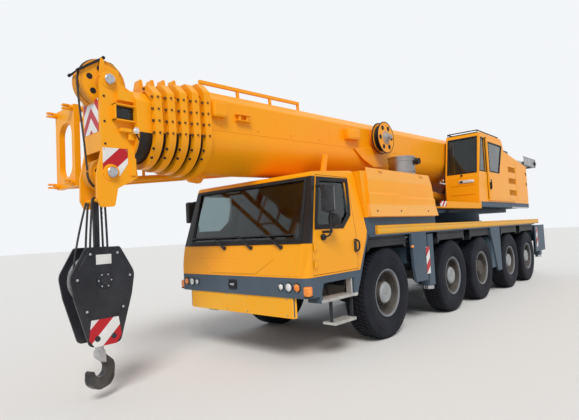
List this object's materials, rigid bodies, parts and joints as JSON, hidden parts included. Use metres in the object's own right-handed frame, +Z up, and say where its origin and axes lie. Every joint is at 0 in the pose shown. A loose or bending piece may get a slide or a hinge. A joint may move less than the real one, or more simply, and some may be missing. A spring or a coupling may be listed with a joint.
{
  "type": "mobile crane",
  "caption": "All-terrain mobile crane with a telescopic boom, folding jib, slewing crane cab, outriggers and a hook block hung from the boom head.",
  "frame": {"origin": "middle of the box round the whole crane, on the ground", "axes": "+X forward towards the driver's cab, +Y left, +Z up"},
  "size_m": [14.406, 3.19, 3.996],
  "materials": {
    "tyre_rubber": "matt",
    "running_gear_grey": "matt",
    "grey_paint": "satin",
    "jack_steel": "polished",
    "yellow_paint": "gloss",
    "tinted_glass": "clear",
    "cab_trim": "grained",
    "cast_engine": "rough",
    "muffler_metal": "brushed",
    "black_plastic": "matt",
    "black_steel": "satin"
  },
  "bodies": {
    "chassis": {"chassis_frame": "grey_paint", "axle_beams": "running_gear_grey", "driver_cab": "yellow_paint", "driver_cab_glass": "tinted_glass", "driver_cab_interior": "cab_trim", "front_skirt": "grey_paint", "engine_hood": "yellow_paint", "engine_block": "cast_engine", "muffler": "muffler_metal", "side_panels": "grey_paint", "mudguards": "black_plastic"},
    "knuckle_1_left": {"knuckle_1_left": "running_gear_grey"},
    "wheel_1_left": {"wheel_1_left": "tyre_rubber"},
    "knuckle_1_right": {"knuckle_1_right": "running_gear_grey"},
    "wheel_1_right": {"wheel_1_right": "tyre_rubber"},
    "knuckle_2_left": {"knuckle_2_left": "running_gear_grey"},
    "wheel_2_left": {"wheel_2_left": "tyre_rubber"},
    "knuckle_2_right": {"knuckle_2_right": "running_gear_grey"},
    "wheel_2_right": {"wheel_2_right": "tyre_rubber"},
    "wheel_3_left": {"wheel_3_left": "tyre_rubber"},
    "wheel_3_right": {"wheel_3_right": "tyre_rubber"},
    "knuckle_4_left": {"knuckle_4_left": "running_gear_grey"},
    "wheel_4_left": {"wheel_4_left": "tyre_rubber"},
    "knuckle_4_right": {"knuckle_4_right": "running_gear_grey"},
    "wheel_4_right": {"wheel_4_right": "tyre_rubber"},
    "knuckle_5_left": {"knuckle_5_left": "running_gear_grey"},
    "wheel_5_left": {"wheel_5_left": "tyre_rubber"},
    "knuckle_5_right": {"knuckle_5_right": "running_gear_grey"},
    "wheel_5_right": {"wheel_5_right": "tyre_rubber"},
    "outrigger_front_left": {"outrigger_front_left": "grey_paint"},
    "jack_front_left": {"jack_front_left": "jack_steel"},
    "outrigger_front_right": {"outrigger_front_right": "grey_paint"},
    "jack_front_right": {"jack_front_right": "jack_steel"},
    "outrigger_rear_left": {"outrigger_rear_left": "grey_paint"},
    "jack_rear_left": {"jack_rear_left": "jack_steel"},
    "outrigger_rear_right": {"outrigger_rear_right": "grey_paint"},
    "jack_rear_right": {"jack_rear_right": "jack_steel"},
    "driver_door_left": {"driver_door_left": "yellow_paint", "door_glass_left": "tinted_glass"},
    "driver_door_right": {"driver_door_right": "yellow_paint", "door_glass_right": "tinted_glass"},
    "superstructure": {"slewing_platform": "grey_paint", "crane_cab": "yellow_paint", "crane_cab_glass": "tinted_glass", "crane_cab_interior": "cab_trim", "machinery_housing": "yellow_paint", "hoist_winch": "black_steel"},
    "crane_cab_door": {"crane_cab_door": "yellow_paint"},
    "boom": {"boom_base": "yellow_paint", "folding_jib": "yellow_paint"},
    "luffing_barrel": {"luffing_cylinder_barrel": "yellow_paint"},
    "luffing_rod": {"luffing_cylinder_rod": "jack_steel"},
    "section_1": {"boom_section_1": "yellow_paint"},
    "section_2": {"boom_section_2": "yellow_paint"},
    "section_3": {"boom_section_3": "yellow_paint"},
    "section_4": {"boom_section_4": "yellow_paint"},
    "section_5": {"boom_section_5": "yellow_paint", "boom_head": "yellow_paint"},
    "hook_block": {"hook_block": "black_steel"},
    "hook": {"hook": "black_steel"}
  },
  "joints": [
    {"name": "steer_1_left", "type": "hinge", "parent": "chassis", "child": "knuckle_1_left", "pos_m": [2.785, 1.01, 0.705], "axis": [0, 0, 1], "range_deg": [-25, 25]},
    {"name": "roll_1_left", "type": "hinge", "parent": "knuckle_1_left", "child": "wheel_1_left", "pos_m": [2.785, 1.13, 0.705], "axis": [0, 1, 0], "continuous": true},
    {"name": "steer_1_right", "type": "hinge", "parent": "chassis", "child": "knuckle_1_right", "pos_m": [2.785, -1.01, 0.705], "axis": [0, 0, 1], "range_deg": [-25, 25]},
    {"name": "roll_1_right", "type": "hinge", "parent": "knuckle_1_right", "child": "wheel_1_right", "pos_m": [2.785, -1.13, 0.705], "axis": [0, 1, 0], "continuous": true},
    {"name": "steer_2_left", "type": "hinge", "parent": "chassis", "child": "knuckle_2_left", "pos_m": [0.205, 1.01, 0.705], "axis": [0, 0, 1], "range_deg": [-25, 25]},
    {"name": "roll_2_left", "type": "hinge", "parent": "knuckle_2_left", "child": "wheel_2_left", "pos_m": [0.205, 1.13, 0.705], "axis": [0, 1, 0], "continuous": true},
    {"name": "steer_2_right", "type": "hinge", "parent": "chassis", "child": "knuckle_2_right", "pos_m": [0.205, -1.01, 0.705], "axis": [0, 0, 1], "range_deg": [-25, 25]},
    {"name": "roll_2_right", "type": "hinge", "parent": "knuckle_2_right", "child": "wheel_2_right", "pos_m": [0.205, -1.13, 0.705], "axis": [0, 1, 0], "continuous": true},
    {"name": "roll_3_left", "type": "hinge", "parent": "chassis", "child": "wheel_3_left", "pos_m": [-1.445, 1.13, 0.705], "axis": [0, 1, 0], "continuous": true},
    {"name": "roll_3_right", "type": "hinge", "parent": "chassis", "child": "wheel_3_right", "pos_m": [-1.445, -1.13, 0.705], "axis": [0, 1, 0], "continuous": true},
    {"name": "steer_4_left", "type": "hinge", "parent": "chassis", "child": "knuckle_4_left", "pos_m": [-3.572, 1.01, 0.705], "axis": [0, 0, 1], "range_deg": [-25, 25]},
    {"name": "roll_4_left", "type": "hinge", "parent": "knuckle_4_left", "child": "wheel_4_left", "pos_m": [-3.572, 1.13, 0.705], "axis": [0, 1, 0], "continuous": true},
    {"name": "steer_4_right", "type": "hinge", "parent": "chassis", "child": "knuckle_4_right", "pos_m": [-3.572, -1.01, 0.705], "axis": [0, 0, 1], "range_deg": [-25, 25]},
    {"name": "roll_4_right", "type": "hinge", "parent": "knuckle_4_right", "child": "wheel_4_right", "pos_m": [-3.572, -1.13, 0.705], "axis": [0, 1, 0], "continuous": true},
    {"name": "steer_5_left", "type": "hinge", "parent": "chassis", "child": "knuckle_5_left", "pos_m": [-5.222, 1.01, 0.705], "axis": [0, 0, 1], "range_deg": [-25, 25]},
    {"name": "roll_5_left", "type": "hinge", "parent": "knuckle_5_left", "child": "wheel_5_left", "pos_m": [-5.222, 1.13, 0.705], "axis": [0, 1, 0], "continuous": true},
    {"name": "steer_5_right", "type": "hinge", "parent": "chassis", "child": "knuckle_5_right", "pos_m": [-5.222, -1.01, 0.705], "axis": [0, 0, 1], "range_deg": [-25, 25]},
    {"name": "roll_5_right", "type": "hinge", "parent": "knuckle_5_right", "child": "wheel_5_right", "pos_m": [-5.222, -1.13, 0.705], "axis": [0, 1, 0], "continuous": true},
    {"name": "outrigger_front_left_slide", "type": "slide", "parent": "chassis", "child": "outrigger_front_left", "axis": [0, 1, 0], "range_m": [0, 1.75]},
    {"name": "jack_front_left_slide", "type": "slide", "parent": "outrigger_front_left", "child": "jack_front_left", "axis": [0, 0, -1], "range_m": [0, 0.57]},
    {"name": "outrigger_front_right_slide", "type": "slide", "parent": "chassis", "child": "outrigger_front_right", "axis": [0, -1, 0], "range_m": [0, 1.75]},
    {"name": "jack_front_right_slide", "type": "slide", "parent": "outrigger_front_right", "child": "jack_front_right", "axis": [0, 0, -1], "range_m": [0, 0.57]},
    {"name": "outrigger_rear_left_slide", "type": "slide", "parent": "chassis", "child": "outrigger_rear_left", "axis": [0, 1, 0], "range_m": [0, 1.75]},
    {"name": "jack_rear_left_slide", "type": "slide", "parent": "outrigger_rear_left", "child": "jack_rear_left", "axis": [0, 0, -1], "range_m": [0, 0.57]},
    {"name": "outrigger_rear_right_slide", "type": "slide", "parent": "chassis", "child": "outrigger_rear_right", "axis": [0, -1, 0], "range_m": [0, 1.75]},
    {"name": "jack_rear_right_slide", "type": "slide", "parent": "outrigger_rear_right", "child": "jack_rear_right", "axis": [0, 0, -1], "range_m": [0, 0.57]},
    {"name": "driver_door_left_hinge", "type": "hinge", "parent": "chassis", "child": "driver_door_left", "pos_m": [4.63, 1.366, 1.6], "axis": [0, 0, -1], "range_deg": [0, 75]},
    {"name": "driver_door_right_hinge", "type": "hinge", "parent": "chassis", "child": "driver_door_right", "pos_m": [4.63, -1.366, 1.6], "axis": [0, 0, 1], "range_deg": [0, 75]},
    {"name": "slew", "type": "hinge", "parent": "chassis", "child": "superstructure", "pos_m": [-2.508, 0, 1.9], "axis": [0, 0, 1], "continuous": true},
    {"name": "crane_cab_door_slide", "type": "slide", "parent": "superstructure", "child": "crane_cab_door", "axis": [-1, 0, 0], "range_m": [0, 0.7]},
    {"name": "boom_luff", "type": "hinge", "parent": "superstructure", "child": "boom", "pos_m": [-4.95, 0, 3.27], "axis": [0, -1, 0], "range_deg": [0, 84]},
    {"name": "barrel_tilt", "type": "hinge", "parent": "superstructure", "child": "luffing_barrel", "pos_m": [-3.25, 0, 2.33], "axis": [0, -1, 0], "range_deg": [0, 91]},
    {"name": "rod_slide", "type": "slide", "parent": "luffing_barrel", "child": "luffing_rod", "axis": [0.9962, 0, 0.0872], "range_m": [0, 2.57]},
    {"name": "telescope_1", "type": "slide", "parent": "boom", "child": "section_1", "axis": [0.9994, 0, -0.0349], "range_m": [0, 9]},
    {"name": "telescope_2", "type": "slide", "parent": "section_1", "child": "section_2", "axis": [0.9994, 0, -0.0349], "range_m": [0, 9]},
    {"name": "telescope_3", "type": "slide", "parent": "section_2", "child": "section_3", "axis": [0.9994, 0, -0.0349], "range_m": [0, 9]},
    {"name": "telescope_4", "type": "slide", "parent": "section_3", "child": "section_4", "axis": [0.9994, 0, -0.0349], "range_m": [0, 9]},
    {"name": "telescope_5", "type": "slide", "parent": "section_4", "child": "section_5", "axis": [0.9994, 0, -0.0349], "range_m": [0, 9]},
    {"name": "block_swing", "type": "hinge", "parent": "section_5", "child": "hook_block", "pos_m": [6.785, 0, 2.19], "axis": [0, -1, 0], "range_deg": [-84, 0]},
    {"name": "hook_swivel", "type": "hinge", "parent": "hook_block", "child": "hook", "pos_m": [6.785, 0, 0.62], "axis": [0, 0, 1], "continuous": true}
  ],
  "couplings": [
    {"joint": "steer_1_right", "follows": "steer_1_left", "ratio": 1},
    {"joint": "steer_2_left", "follows": "steer_1_left", "ratio": 0.72},
    {"joint": "steer_2_right", "follows": "steer_1_left", "ratio": 0.72},
    {"joint": "steer_4_left", "follows": "steer_5_left", "ratio": 0.62},
    {"joint": "steer_4_right", "follows": "steer_5_left", "ratio": 0.62},
    {"joint": "steer_5_right", "follows": "steer_5_left", "ratio": 1},
    {"joint": "barrel_tilt", "follows": "boom_luff", "ratio": 1.0739},
    {"joint": "rod_slide", "follows": "boom_luff", "m_per_rad": 1.7435},
    {"joint": "block_swing", "follows": "boom_luff", "ratio": -1}
  ]
}
